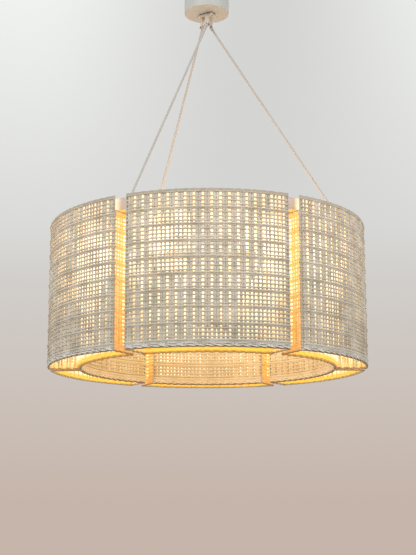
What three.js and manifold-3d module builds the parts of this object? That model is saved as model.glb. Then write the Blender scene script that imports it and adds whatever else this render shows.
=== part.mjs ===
// Ring chandelier: six woven shades on a painted ring channel, hung by three rods
// from a hub under a canopy. Millimetres, +Z up. The origin is on the ceiling plane,
// on the fixture's vertical axis. The front shade faces -Y.
import * as THREE from "three";
import { mergeVertices } from "three/addons/utils/BufferGeometryUtils.js";
import Module from "manifold-3d";

// Ring of shades
const shadeOuterRadius = 457;
const shadeDepth = 96;
const shadeHeight = 412;
const shadeWall = 8;
const shadeCount = 6;
const shadeGap = 32;
const shadeArcSteps = 6;

// Welded wire frame in each shade
const wireDiameter = 4.6;
const wireSides = 6;
const frameTabLength = 18;
const frameTabWidth = 14;
const frameTabThickness = 3;
const frameTabInset = 1;
const studDiameter = 5;
const studNutDiameter = 9;
const studNutHeight = 4;

// Ring channel and its cover. The inset is from the shades' outer face to the channel's middle.
const channelInset = 50;
const channelWidth = 58;
const channelHeight = 33;
const channelDrop = 4;
const sheetThickness = 2;
const coverThickness = 2;
const channelSteps = 48;
const holeSides = 6;

// Lampholders and bulbs
const lampsPerShade = 2;
const holderDiameter = 34;
const holderCapDiameter = 22;
const holderCapHeight = 7;
const holderLength = 47;
const holderNippleDiameter = 10;
const holderNutDiameter = 16;
const holderNutHeight = 4;
const socketDepth = 26;
const bulbCapDiameter = 26;
const bulbTipDiameter = 9;
const bulbTipHeight = 2;
const bulbShoulderDiameter = 20;
const bulbDiameter = 48;
const bulbLength = 88;
const lampSides = 8;

// Suspension rods, their eyes and pivot screws
const rodCount = 3;
const rodDiameter = 6.4;
const rodSides = 10;
const eyeWidth = 9;
const eyeThickness = 4;
const eyeLength = 12;
const eyeSides = 12;
const lugWidth = 10;
const lugThickness = 10;
const pivotDiameter = 4;
const pivotHeadDiameter = 8;
const pivotHeadHeight = 3;
const screwSides = 12;
const hubPinRadius = 13;
const hubPinOffset = 8;
const hubPinDrop = 41;
const ringPinRise = 9;
const ringLugFootWidth = 28;
const ringLugFootInset = 12;
const ringLugFootThickness = 3;

// Canopy, ceiling strap and stem
const canopyDiameter = 136;
const canopyHeight = 60;
const canopySheetThickness = 1.5;
const canopyEdgeRadius = 2.5;
const canopySides = 36;
const canopyToShadeDrop = 683;
const strapLength = 106;
const strapWidth = 20;
const strapThickness = 2.5;
const strapPadLength = 16;
const strapDrop = 10;
const strapScrewSpacing = 89;
const strapScrewHole = 5;
const stemDiameter = 8;
const stemSides = 16;
const stemBore = 5;
const stemTopReach = 7;
const stemBottomReach = 2.5;
const nutDiameter = 15;
const nutHeight = 5.5;
const nutSides = 6;
const canopyNutDiameter = 18;
const canopyNutHeight = 2.5;
const canopyNutSides = 24;
const terminalLength = 24;
const terminalWidth = 14;
const terminalHeight = 12;

// Hub bracket
const hubPlateLength = 50;
const hubPlateWidth = 25;
const hubPlateThickness = 5;
const hubPlateTurn = THREE.MathUtils.degToRad(-32);
const hubScrewDiameter = 4;
const hubScrewHeadDiameter = 6.4;
const hubScrewHeadHeight = 2;
const hubScrewInset = 4.5;

// Wiring in the channel
const wiringDiameter = 5;
const wiringSteps = 36;
const wiringSides = 5;

// Clearance between touching pieces, and the overrun of every cut
const seatGap = 0.3;
const cutOverrun = 1;

// Heights and radii that follow from the sizes above
const shadeTop = -(canopyHeight + canopyToShadeDrop);
const shadeBottom = shadeTop - shadeHeight;
const shadeInnerRadius = shadeOuterRadius - shadeDepth;
const channelRadius = shadeOuterRadius - channelInset;
const ringLugFootLength = channelWidth - 2 * ringLugFootInset;
const channelTop = shadeTop - channelDrop;
const channelBottom = channelTop - channelHeight;
const channelFloor = channelBottom + sheetThickness;
const channelRim = channelTop - coverThickness - seatGap;
const wireRadius = wireDiameter / 2;
const postRadiusOuter = shadeOuterRadius - shadeWall / 2;
const postRadiusInner = shadeInnerRadius + shadeWall / 2;
const shadeHalfAngle = Math.PI / shadeCount - shadeGap / shadeOuterRadius / 2;
const crossWireHeight = channelBottom - seatGap - wireRadius;
const tabHeight = channelBottom - seatGap - frameTabThickness / 2;
const rimHeights = [shadeTop - wireRadius, shadeBottom + wireRadius];
const canopyFloor = -canopyHeight;
const hubPlateTop = canopyFloor - seatGap - canopyNutHeight - seatGap;
const hubPlateBottom = hubPlateTop - hubPlateThickness;
const hubPinHeight = canopyFloor - hubPinDrop;
const ringPinHeight = channelTop + ringPinRise;
const lampCount = shadeCount * lampsPerShade;
const stemTop = -strapDrop + stemTopReach;
const stemBottom = hubPlateBottom - seatGap - nutHeight - stemBottomReach;

// Vertices closer than this are one vertex.
const mergeDistance = 1e-4;

const wasm = await Module();
wasm.setup();

// A closed three.js geometry as a solid that can be joined and cut.
function solid(geometry) {
  const bare = geometry.index ? geometry.toNonIndexed() : geometry.clone();
  bare.deleteAttribute("normal");
  bare.deleteAttribute("uv");
  const merged = mergeVertices(bare, mergeDistance);
  return new wasm.Manifold(
    new wasm.Mesh({
      numProp: 3,
      vertProperties: merged.attributes.position.array,
      triVerts: new Uint32Array(merged.index.array),
    }),
  );
}

// A joined or cut solid as a three.js geometry.
function geometryOf(shape) {
  const result = shape.getMesh();
  const geometry = new THREE.BufferGeometry();
  geometry.setAttribute("position", new THREE.BufferAttribute(result.vertProperties, 3));
  geometry.setIndex(new THREE.BufferAttribute(result.triVerts, 1));
  geometry.computeVertexNormals();
  return geometry;
}

function block(lengthX, lengthY, lengthZ, x, y, z) {
  return new THREE.BoxGeometry(lengthX, lengthY, lengthZ).translate(x, y, z);
}

// A round bar along Z between two heights.
function uprightBar(radius, low, high, x, y, sides) {
  const bar = new THREE.CylinderGeometry(radius, radius, high - low, sides);
  bar.rotateX(Math.PI / 2);
  return bar.translate(x, y, (low + high) / 2);
}

// A round bar between two points.
function barBetween(start, end, radius, sides) {
  const along = end.clone().sub(start);
  const bar = new THREE.CylinderGeometry(radius, radius, along.length(), sides);
  const turn = new THREE.Quaternion();
  bar.applyQuaternion(turn.setFromUnitVectors(new THREE.Vector3(0, 1, 0), along.clone().normalize()));
  const middle = start.clone().add(end).multiplyScalar(1 / 2);
  return bar.translate(middle.x, middle.y, middle.z);
}

// A shape turned about Z from an outline of [radius, height] pairs.
function turned(outline, sides) {
  const points = outline.map(([radius, height]) => new THREE.Vector2(radius, height));
  const lathe = new THREE.LatheGeometry(points, sides);
  return lathe.rotateX(Math.PI / 2);
}

// The corner radius of a faceted hole whose flats clear the round bar in it.
function clearRadius(diameter, sides) {
  return (diameter / 2 + seatGap) / Math.cos(Math.PI / sides);
}

// A nut on the stem.
function stemNut(diameter, sides, low, height) {
  const body = solid(uprightBar(diameter / 2, low, low + height, 0, 0, sides));
  const boreRadius = clearRadius(stemDiameter, stemSides);
  const bore = uprightBar(boreRadius, low - cutOverrun, low + height + cutOverrun, 0, 0, stemSides);
  return body.subtract(solid(bore));
}

const chandelier = new THREE.Group();

function finish(color, roughness, metalness) {
  return new THREE.MeshStandardMaterial({ color, roughness, metalness });
}

const whitePaint = { color: 0xe4e2dc, roughness: 0.45, metalness: 0 };
const chromePlate = { color: 0xd0d2d4, roughness: 0.15, metalness: 1 };
const zincPlate = { color: 0xb4b6b8, roughness: 0.4, metalness: 1 };
const wovenCord = { color: 0xbdb8a9, roughness: 0.9, metalness: 0 };
const frameSteel = { color: 0xd8d4c8, roughness: 0.5, metalness: 0 };
const porcelain = { color: 0xf1efe8, roughness: 0.35, metalness: 0 };
const bulbGlass = { color: 0xfff4dc, roughness: 0.2, metalness: 0 };
const wireJacket = { color: 0xe9e7e1, roughness: 0.6, metalness: 0 };

function addPiece(parent, name, shape, look) {
  const geometry = shape.isBufferGeometry ? shape : geometryOf(shape);
  const mesh = new THREE.Mesh(geometry, finish(look.color, look.roughness, look.metalness));
  mesh.name = name;
  parent.add(mesh);
  return mesh;
}

function turnedGroup(parent, angle) {
  const group = new THREE.Group();
  group.rotation.z = angle;
  parent.add(group);
  return group;
}

// Canopy: a spun cup, open at the ceiling, with a hole for the stem.
function canopyCover() {
  const outer = canopyDiameter / 2;
  const holeRadius = clearRadius(stemDiameter, canopySides);
  const edge = outer - canopyEdgeRadius;
  const edgeShare = 0.3;
  return turned(
    [
      [holeRadius, canopyFloor + canopySheetThickness],
      [holeRadius, canopyFloor],
      [edge, canopyFloor],
      [outer - canopyEdgeRadius * edgeShare, canopyFloor + canopyEdgeRadius * edgeShare],
      [outer, canopyFloor + canopyEdgeRadius],
      [outer, 0],
      [outer - canopySheetThickness, 0],
      [outer - canopySheetThickness, canopyFloor + canopyEdgeRadius],
      [edge - canopySheetThickness * edgeShare, canopyFloor + canopySheetThickness],
      [holeRadius, canopyFloor + canopySheetThickness],
    ],
    canopySides,
  );
}

// Ceiling strap: a bar with two raised pads that screw to the ceiling box.
function ceilingStrap() {
  const half = strapLength / 2;
  const padInner = half - strapPadLength;
  const outline = new THREE.Shape([
    new THREE.Vector2(-half, 0),
    new THREE.Vector2(-half, -strapThickness),
    new THREE.Vector2(-padInner, -strapThickness),
    new THREE.Vector2(-padInner, -strapDrop - strapThickness),
    new THREE.Vector2(padInner, -strapDrop - strapThickness),
    new THREE.Vector2(padInner, -strapThickness),
    new THREE.Vector2(half, -strapThickness),
    new THREE.Vector2(half, 0),
    new THREE.Vector2(padInner - strapThickness, 0),
    new THREE.Vector2(padInner - strapThickness, -strapDrop),
    new THREE.Vector2(-padInner + strapThickness, -strapDrop),
    new THREE.Vector2(-padInner + strapThickness, 0),
  ]);
  const bar = new THREE.ExtrudeGeometry(outline, { depth: strapWidth, bevelEnabled: false });
  bar.rotateX(Math.PI / 2).translate(0, strapWidth / 2, 0);
  let shape = solid(bar);
  const lowest = -strapDrop - strapThickness - cutOverrun;
  shape = shape.subtract(
    solid(uprightBar(clearRadius(stemDiameter, stemSides), lowest, cutOverrun, 0, 0, stemSides)),
  );
  for (const side of [-1, 1]) {
    const x = (side * strapScrewSpacing) / 2;
    shape = shape.subtract(solid(uprightBar(strapScrewHole / 2, lowest, cutOverrun, x, 0, screwSides)));
  }
  return shape;
}

function stemNipple() {
  const tube = solid(uprightBar(stemDiameter / 2, stemBottom, stemTop, 0, 0, stemSides));
  const bore = uprightBar(stemBore / 2, stemBottom - cutOverrun, stemTop + cutOverrun, 0, 0, stemSides);
  return tube.subtract(solid(bore));
}

// The two ears that hold an eye: a bar with a slot across it and a rounded end on the pivot's axis.
// The bar runs from the pivot at the origin to a height, up or down; the pivot lies along Y.
function forkedBar(reach, holeRadius) {
  const bar = solid(block(lugWidth, lugThickness, Math.abs(reach), 0, 0, reach / 2));
  const end = solid(new THREE.CylinderGeometry(lugWidth / 2, lugWidth / 2, lugThickness, eyeSides));
  const slotReach = Math.sign(reach) * (eyeWidth / 2 + cutOverrun);
  const slotFar = -Math.sign(reach) * (lugWidth / 2 + cutOverrun);
  const slot = solid(
    block(
      lugWidth + 2 * cutOverrun,
      eyeThickness + 2 * seatGap,
      Math.abs(slotReach - slotFar),
      0,
      0,
      (slotReach + slotFar) / 2,
    ),
  );
  const holeLength = lugThickness + 2 * cutOverrun;
  const hole = solid(new THREE.CylinderGeometry(holeRadius, holeRadius, holeLength, holeSides));
  return bar.add(end).subtract(slot).subtract(hole);
}

// Where a rod's two pivots lie in the plane of its spoke, and how it runs between them.
const spokeTurn = Math.atan2(-hubPinOffset, channelRadius - hubPinRadius);
const rodRun = Math.hypot(hubPinOffset, channelRadius - hubPinRadius);
const rodDrop = hubPinHeight - ringPinHeight;
const rodLength = Math.hypot(rodRun, rodDrop);
const rodTilt = Math.atan2(rodDrop, rodRun);
const pivotHole = clearRadius(pivotDiameter, holeSides);

function placed(shape, matrix) {
  return solid(geometryOf(shape).applyMatrix4(matrix));
}

const hubScrewPlace = hubPlateLength / 2 - hubScrewInset;

// Hub bracket: the plate, with its three lugs welded under it.
function hubBracket() {
  const plate = block(
    hubPlateLength,
    hubPlateWidth,
    hubPlateThickness,
    0,
    0,
    (hubPlateTop + hubPlateBottom) / 2,
  );
  let bracket = solid(plate.rotateZ(hubPlateTurn));
  const lugReach = hubPlateBottom + cutOverrun - hubPinHeight;
  for (let rod = 0; rod < rodCount; rod += 1) {
    const angle = (rod * 2 * Math.PI) / rodCount;
    const matrix = new THREE.Matrix4().makeRotationZ(angle);
    matrix.multiply(new THREE.Matrix4().makeTranslation(hubPinRadius, hubPinOffset, hubPinHeight));
    matrix.multiply(new THREE.Matrix4().makeRotationZ(spokeTurn));
    bracket = bracket.add(placed(forkedBar(lugReach, pivotHole), matrix));
  }
  const low = hubPlateBottom - cutOverrun;
  const high = hubPlateTop + cutOverrun;
  bracket = bracket.subtract(
    solid(uprightBar(clearRadius(stemDiameter, stemSides), low, high, 0, 0, stemSides)),
  );
  const screwRadius = clearRadius(hubScrewDiameter, holeSides);
  const screwHole = uprightBar(screwRadius, low, high, hubScrewPlace, 0, holeSides);
  return bracket.subtract(solid(screwHole.rotateZ(hubPlateTurn)));
}

function hubScrew() {
  const headTop = hubPlateBottom - seatGap;
  return turned(
    [
      [0, hubPlateTop - seatGap],
      [hubScrewDiameter / 2, hubPlateTop - seatGap],
      [hubScrewDiameter / 2, headTop],
      [hubScrewHeadDiameter / 2, headTop],
      [hubScrewHeadDiameter / 2, headTop - hubScrewHeadHeight / 2],
      [hubScrewHeadDiameter / 4, headTop - hubScrewHeadHeight],
      [0, headTop - hubScrewHeadHeight],
    ].reverse(),
    screwSides,
  ).translate(hubScrewPlace, 0, 0);
}

// A rod along +X from its upper pivot at the origin to its lower pivot, with a flat eye at each end.
function suspensionRod() {
  const bodyStart = eyeLength - eyeWidth / 2;
  const bodyEnd = rodLength - bodyStart;
  const start = new THREE.Vector3(bodyStart, 0, 0);
  const end = new THREE.Vector3(bodyEnd, 0, 0);
  let rod = solid(barBetween(start, end, rodDiameter / 2, rodSides));
  for (const [pivot, toBody] of [
    [0, 1],
    [rodLength, -1],
  ]) {
    const tongue = block(eyeLength, eyeThickness, eyeWidth, pivot + (toBody * eyeLength) / 2, 0, 0);
    const round = new THREE.CylinderGeometry(eyeWidth / 2, eyeWidth / 2, eyeThickness, eyeSides);
    round.translate(pivot, 0, 0);
    const hole = new THREE.CylinderGeometry(pivotHole, pivotHole, eyeThickness + 2 * cutOverrun, holeSides);
    rod = rod.add(solid(tongue)).add(solid(round)).subtract(solid(hole.translate(pivot, 0, 0)));
  }
  return rod;
}

// A pivot screw along Y, its domed head on the -Y side and its nut on the +Y side.
function pivotScrew() {
  const half = lugThickness / 2 + seatGap;
  const shank = pivotDiameter / 2;
  const head = pivotHeadDiameter / 2;
  const headRoundShare = 0.75;
  const outline = [
    [0, -half - pivotHeadHeight],
    [head / 2, -half - pivotHeadHeight],
    [head, -half - pivotHeadHeight * (1 - headRoundShare)],
    [head, -half],
    [shank, -half],
    [shank, half],
    [head, half],
    [head, half + pivotHeadHeight],
    [0, half + pivotHeadHeight],
  ];
  const points = outline.map(([radius, along]) => new THREE.Vector2(radius, along));
  return new THREE.LatheGeometry(points, screwSides);
}

// A ring lug: a foot welded on the channel's floor and a forked post that stands up through the cover.
function ringLug() {
  const footTop = channelFloor + seatGap + ringLugFootThickness;
  const foot = block(
    ringLugFootLength,
    ringLugFootWidth,
    ringLugFootThickness,
    0,
    0,
    footTop - ringLugFootThickness / 2 - ringPinHeight,
  );
  return forkedBar(footTop - ringPinHeight - cutOverrun, pivotHole).add(solid(foot));
}

// Angles of the lamps, and of the studs that hold the shade frames, about the ring.
function frontAngle(index, count, share) {
  return -Math.PI / 2 + ((index + share) * 2 * Math.PI) / count;
}

const firstLampShare = 0.5;
const lampAngles = [...Array(lampCount).keys()].map((i) => frontAngle(i, lampCount, firstLampShare));
const shadeAngles = [...Array(shadeCount).keys()].map((i) => frontAngle(i, shadeCount, 0));

// A stud stands at the middle of its frame tab, which lies against the inside of the end wall.
const studInset = shadeWall / 2 + frameTabInset + frameTabLength / 2;
const studAngle = shadeHalfAngle - Math.asin(studInset / channelRadius);

// Ring channel: a U of sheet rolled into a ring and open at the top, drilled for
// lampholders and studs.
function ringChannel() {
  const outer = channelRadius + channelWidth / 2;
  const inner = channelRadius - channelWidth / 2;
  const section = [
    [inner, channelBottom],
    [outer, channelBottom],
    [outer, channelRim],
    [outer - sheetThickness, channelRim],
    [outer - sheetThickness, channelFloor],
    [inner + sheetThickness, channelFloor],
    [inner + sheetThickness, channelRim],
    [inner, channelRim],
    [inner, channelBottom],
  ];
  let shape = solid(turned(section, channelSteps));
  const low = channelBottom - cutOverrun;
  const high = channelFloor + cutOverrun;
  const drill = (angle, radius) => {
    const hole = uprightBar(radius, low, high, channelRadius, 0, holeSides).rotateZ(angle);
    shape = shape.subtract(solid(hole));
  };
  for (const angle of lampAngles) drill(angle, clearRadius(holderNippleDiameter, holeSides));
  for (const angle of shadeAngles) {
    for (const side of [-1, 1]) drill(angle + side * studAngle, clearRadius(studDiameter, holeSides));
  }
  return shape;
}

// Ring cover: a flat ring that lies on the channel, with a slot for each ring lug.
function ringCover() {
  const outer = channelRadius + channelWidth / 2;
  const inner = channelRadius - channelWidth / 2;
  const low = channelTop - coverThickness;
  const section = [
    [inner, low],
    [outer, low],
    [outer, channelTop],
    [inner, channelTop],
    [inner, low],
  ];
  let shape = solid(turned(section, channelSteps));
  for (let rod = 0; rod < rodCount; rod += 1) {
    const slot = block(
      lugWidth + 2 * seatGap,
      lugThickness + 2 * seatGap,
      coverThickness + 2 * cutOverrun,
      0,
      0,
      (low + channelTop) / 2,
    );
    slot.rotateZ(spokeTurn).translate(channelRadius, 0, 0).rotateZ((rod * 2 * Math.PI) / rodCount);
    shape = shape.subtract(solid(slot));
  }
  return shape;
}

// Ring wiring: the insulated lead that feeds the lampholders, lying on the channel's floor.
function ringWiring() {
  const radius = channelRadius + channelWidth / 2 - sheetThickness - seatGap - wiringDiameter;
  const height = channelFloor + seatGap + wiringDiameter / 2;
  const torus = new THREE.TorusGeometry(radius, wiringDiameter / 2, wiringSides, wiringSteps);
  return torus.translate(0, 0, height);
}

// Lampholder: a cup with a threaded nipple through the channel's floor and a nut inside the channel.
function lampholder() {
  const nipple = holderNippleDiameter / 2;
  const nutLow = channelFloor + seatGap;
  const nutHigh = nutLow + holderNutHeight;
  const top = channelBottom - seatGap;
  const bottom = channelBottom - holderLength;
  const bore = bulbCapDiameter / 2 + seatGap / Math.cos(Math.PI / lampSides);
  const body = holderDiameter / 2;
  return turned(
    [
      [0, bottom + socketDepth],
      [bore, bottom + socketDepth],
      [bore, bottom],
      [body, bottom],
      [body, top - holderCapHeight],
      [holderCapDiameter / 2, top],
      [nipple, top],
      [nipple, nutLow],
      [holderNutDiameter / 2, nutLow],
      [holderNutDiameter / 2, nutHigh],
      [0, nutHigh],
    ],
    lampSides,
  );
}

// Bulb: a screw cap and a pear of glass, hanging cap up.
function bulb() {
  const tipHeight = channelBottom - holderLength + socketDepth - seatGap;
  const low = tipHeight - bulbLength;
  const cap = bulbCapDiameter / 2;
  const neckHeight = channelBottom - holderLength - seatGap;
  const glass = bulbDiameter / 2;
  const neckDrop = neckHeight - low;
  const swellShares = [
    [0.05, 0.56],
    [0.3, 0.74],
    [0.5, 0.98],
    [0.72, 0.98],
    [0.93, 0.6],
  ];
  const outline = [
    [0, tipHeight],
    [bulbTipDiameter / 2, tipHeight],
    [bulbTipDiameter / 2, tipHeight - bulbTipHeight],
    [bulbShoulderDiameter / 2, tipHeight - bulbTipHeight],
    [cap, tipHeight - 2 * bulbTipHeight],
    [cap, neckHeight],
    ...swellShares.map(([down, wide]) => [glass * wide, neckHeight - neckDrop * down]),
    [0, low],
  ];
  return turned(outline.reverse(), lampSides);
}

function arcPoints(radius, from, to, steps) {
  return Array.from({ length: steps + 1 }, (unused, i) => {
    const angle = from + ((to - from) * i) / steps;
    return new THREE.Vector2(radius * Math.cos(angle), radius * Math.sin(angle));
  });
}

// Half the angle that an arc spans when it ends a given distance short of the shade's end face.
function halfSpan(radius, inset) {
  return shadeHalfAngle - Math.asin(inset / radius);
}

// A corner post's centre: on a wall's middle surface, half a wall in from the end face.
function postPlace(radius, side) {
  const angle = side * halfSpan(radius, shadeWall / 2);
  return new THREE.Vector2(radius * Math.cos(angle), radius * Math.sin(angle));
}

// The woven wall: one closed loop of wall in plan, with the frame's wires running through its corners.
function wovenShade() {
  const half = shadeWall / 2;
  const cornerSteps = 3;
  const corner = (radius, side, from, to) => {
    const centre = postPlace(radius, side);
    return arcPoints(half, from, to, cornerSteps).map((point) => point.add(centre));
  };
  const outerHalf = halfSpan(postRadiusOuter, half);
  const innerHalf = halfSpan(postRadiusInner, half);
  const endNormal = shadeHalfAngle + Math.PI / 2;
  const outline = new THREE.Shape([
    ...arcPoints(shadeOuterRadius, -outerHalf, outerHalf, shadeArcSteps).slice(1, -1),
    ...corner(postRadiusOuter, 1, outerHalf, endNormal),
    ...corner(postRadiusInner, 1, endNormal, innerHalf + Math.PI),
    ...arcPoints(shadeInnerRadius, innerHalf, -innerHalf, shadeArcSteps).slice(1, -1),
    ...corner(postRadiusInner, -1, Math.PI - innerHalf, 2 * Math.PI - endNormal),
    ...corner(postRadiusOuter, -1, -endNormal, -outerHalf),
  ]);
  const outside = shadeOuterRadius - shadeWall;
  const inside = shadeInnerRadius + shadeWall;
  const outsideHalf = halfSpan(outside, shadeWall);
  const insideHalf = halfSpan(inside, shadeWall);
  outline.holes.push(
    new THREE.Path([
      ...arcPoints(outside, -outsideHalf, outsideHalf, shadeArcSteps),
      ...arcPoints(inside, insideHalf, -insideHalf, shadeArcSteps),
    ]),
  );
  const loop = new THREE.ExtrudeGeometry(outline, { depth: shadeHeight, bevelEnabled: false });
  let shape = solid(loop.translate(0, 0, shadeBottom));
  const clear = wireRadius + seatGap;
  const [belowRim, aboveRim] = [shadeBottom - cutOverrun, shadeTop + cutOverrun];
  for (const radius of [postRadiusOuter, postRadiusInner]) {
    shape = shape.subtract(solid(rimGroove(radius, belowRim, shadeBottom + 2 * clear)));
    shape = shape.subtract(solid(rimGroove(radius, shadeTop - 2 * clear, aboveRim)));
  }
  for (const side of [-1, 1]) {
    shape = shape.subtract(solid(endNotch(side)));
    shape = shape.subtract(solid(crossGroove(side, belowRim, shadeBottom + 2 * clear)));
    shape = shape.subtract(solid(crossGroove(side, crossWireHeight - clear, crossWireHeight + clear)));
    for (const radius of [postRadiusOuter, postRadiusInner]) {
      const { x, y } = postPlace(radius, side);
      shape = shape.subtract(solid(uprightBar(clear, belowRim, aboveRim, x, y, wireSides)));
    }
  }
  return shape;
}

// The groove in a wall's edge that holds a rim wire, between two corner posts.
function rimGroove(radius, low, high) {
  const clear = wireRadius + seatGap;
  const half = halfSpan(radius, shadeWall / 2);
  const section = new THREE.Shape([
    ...arcPoints(radius + clear, -half, half, shadeArcSteps),
    ...arcPoints(radius - clear, half, -half, shadeArcSteps),
  ]);
  const groove = new THREE.ExtrudeGeometry(section, { depth: high - low, bevelEnabled: false });
  return groove.translate(0, 0, low);
}

// The groove along an end wall that holds a cross wire.
function crossGroove(side, low, high) {
  const post = postPlace((postRadiusInner + postRadiusOuter) / 2, side);
  const length = postRadiusOuter - postRadiusInner;
  const groove = block(length, 2 * (wireRadius + seatGap), high - low, 0, 0, (low + high) / 2);
  return groove.rotateZ(side * shadeHalfAngle).translate(post.x, post.y, 0);
}

// The space above an end wall that the ring channel runs through.
function endNotch(side) {
  const low = crossWireHeight - wireRadius - seatGap;
  const high = shadeTop + cutOverrun;
  const near = shadeInnerRadius + shadeWall;
  const far = shadeOuterRadius - shadeWall;
  const notch = block(far - near, 2 * shadeWall, high - low, (near + far) / 2, 0, (low + high) / 2);
  return notch.rotateZ(side * shadeHalfAngle);
}

// A straight wire across an end wall, between its two corner posts.
function crossWire(side, height) {
  const [start, end] = [postRadiusInner, postRadiusOuter].map((postRadius) => {
    const post = postPlace(postRadius, side);
    return new THREE.Vector3(post.x, post.y, height);
  });
  return barBetween(start, end, wireRadius, wireSides);
}

// A wire bent along a wall's middle surface, between two corner posts.
function arcWire(radius, height) {
  const half = halfSpan(radius, shadeWall / 2);
  const route = new THREE.CatmullRomCurve3(
    arcPoints(radius, -half, half, 2 * shadeArcSteps).map(({ x, y }) => new THREE.Vector3(x, y, height)),
  );
  const section = new THREE.Shape(arcPoints(wireRadius, 0, 2 * Math.PI, wireSides).slice(0, -1));
  return new THREE.ExtrudeGeometry(section, { steps: shadeArcSteps, extrudePath: route });
}

// A tab under the channel with its stud through the channel's floor and a nut inside.
function frameTab(side) {
  const weldReach = shadeWall / 2 + frameTabInset;
  const tab = block(
    frameTabWidth,
    frameTabLength + weldReach,
    frameTabThickness,
    0,
    (side * weldReach) / 2,
    tabHeight,
  );
  const nutLow = channelFloor + seatGap;
  const stud = uprightBar(studDiameter / 2, tabHeight, nutLow + studNutHeight, 0, 0, holeSides);
  const nut = uprightBar(studNutDiameter / 2, nutLow, nutLow + studNutHeight, 0, 0, nutSides);
  const shape = solid(tab).add(solid(stud)).add(solid(nut));
  const angle = side * studAngle;
  const matrix = new THREE.Matrix4().makeTranslation(
    channelRadius * Math.cos(angle),
    channelRadius * Math.sin(angle),
    0,
  );
  matrix.multiply(new THREE.Matrix4().makeRotationZ(side * shadeHalfAngle));
  return placed(shape, matrix);
}

// The frame: rim wires, corner posts, cross wires at the ends, and the two tabs, all welded.
function shadeFrame() {
  const parts = [];
  for (const radius of [postRadiusOuter, postRadiusInner]) {
    for (const height of rimHeights) parts.push(arcWire(radius, height));
    for (const side of [-1, 1]) {
      const { x, y } = postPlace(radius, side);
      parts.push(uprightBar(wireRadius, shadeBottom, shadeTop, x, y, wireSides));
    }
  }
  for (const side of [-1, 1]) {
    for (const height of [crossWireHeight, shadeBottom + wireRadius]) {
      parts.push(crossWire(side, height));
    }
  }
  return [...parts.map(solid), frameTab(1), frameTab(-1)].reduce((welded, part) => welded.add(part));
}

function terminalBlock() {
  const top = -strapDrop - strapThickness - seatGap;
  const x = nutDiameter / 2 + terminalLength / 2;
  return block(terminalLength, terminalWidth, terminalHeight, x, 0, top - terminalHeight / 2);
}

// Ceiling mount
addPiece(chandelier, "canopy_cover", canopyCover(), whitePaint);
addPiece(chandelier, "ceiling_strap", ceilingStrap(), zincPlate);
addPiece(chandelier, "stem_nipple", stemNipple(), zincPlate);
const topNut = stemNut(nutDiameter, nutSides, -strapDrop + seatGap, nutHeight);
addPiece(chandelier, "stem_top_nut", topNut, zincPlate);
const canopyNut = stemNut(canopyNutDiameter, canopyNutSides, hubPlateTop + seatGap, canopyNutHeight);
addPiece(chandelier, "canopy_nut", canopyNut, whitePaint);
const carryingNut = stemNut(nutDiameter, nutSides, hubPlateBottom - seatGap - nutHeight, nutHeight);
addPiece(chandelier, "stem_carrying_nut", carryingNut, chromePlate);
addPiece(chandelier, "terminal_block", terminalBlock(), porcelain);

// Hub
addPiece(chandelier, "hub_bracket", hubBracket(), whitePaint);
addPiece(turnedGroup(chandelier, hubPlateTurn), "hub_plate_screw", hubScrew(), zincPlate);

// Rods with their pivots
const spokeNames = ["right", "back_left", "front_left"];
for (const [index, name] of spokeNames.entries()) {
  const spoke = turnedGroup(chandelier, (index * 2 * Math.PI) / rodCount);
  const upper = turnedGroup(spoke, spokeTurn);
  upper.position.set(hubPinRadius, hubPinOffset, hubPinHeight);
  const rod = addPiece(upper, `suspension_rod_${name}`, suspensionRod(), whitePaint);
  rod.rotation.y = rodTilt;
  addPiece(upper, `hub_pivot_screw_${name}`, pivotScrew(), chromePlate);
  const lower = turnedGroup(spoke, spokeTurn);
  lower.position.set(channelRadius, 0, ringPinHeight);
  addPiece(lower, `ring_lug_${name}`, ringLug(), whitePaint);
  addPiece(lower, `ring_pivot_screw_${name}`, pivotScrew(), chromePlate);
}

// Ring
addPiece(chandelier, "ring_channel", ringChannel(), whitePaint);
addPiece(chandelier, "ring_cover", ringCover(), whitePaint);
addPiece(chandelier, "ring_wiring", ringWiring(), wireJacket);

// Lamps
for (const [index, angle] of lampAngles.entries()) {
  const place = turnedGroup(chandelier, angle);
  const number = String(index + 1).padStart(2, "0");
  addPiece(place, `lampholder_${number}`, lampholder(), porcelain).position.x = channelRadius;
  addPiece(place, `bulb_${number}`, bulb(), bulbGlass).position.x = channelRadius;
}

// Shades
for (const [index, angle] of shadeAngles.entries()) {
  const place = turnedGroup(chandelier, angle);
  addPiece(place, `shade_frame_${index + 1}`, shadeFrame(), frameSteel);
  addPiece(place, `woven_shade_${index + 1}`, wovenShade(), wovenCord);
}

export default chandelier;
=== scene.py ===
"""Looks of the ring chandelier: six woven shades on a painted ring, hung by three rods from a hub."""

import math

import bmesh
import bpy
from mathutils import Matrix, Vector


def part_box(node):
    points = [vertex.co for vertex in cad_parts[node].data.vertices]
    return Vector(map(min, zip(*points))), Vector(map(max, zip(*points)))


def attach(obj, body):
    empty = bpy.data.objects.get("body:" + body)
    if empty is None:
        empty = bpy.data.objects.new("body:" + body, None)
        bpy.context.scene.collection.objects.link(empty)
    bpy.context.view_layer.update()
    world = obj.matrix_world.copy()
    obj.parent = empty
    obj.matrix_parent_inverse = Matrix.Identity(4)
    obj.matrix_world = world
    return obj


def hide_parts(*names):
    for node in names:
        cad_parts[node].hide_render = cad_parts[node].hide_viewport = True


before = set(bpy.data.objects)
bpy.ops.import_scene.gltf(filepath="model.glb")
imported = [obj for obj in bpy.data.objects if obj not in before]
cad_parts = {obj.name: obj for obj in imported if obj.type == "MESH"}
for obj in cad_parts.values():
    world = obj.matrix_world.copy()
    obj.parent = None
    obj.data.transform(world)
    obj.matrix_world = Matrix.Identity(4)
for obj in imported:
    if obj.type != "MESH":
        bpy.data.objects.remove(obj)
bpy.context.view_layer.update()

# Sizes, in metres, repeated from the part or read from its frame
MM = 0.001
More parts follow.
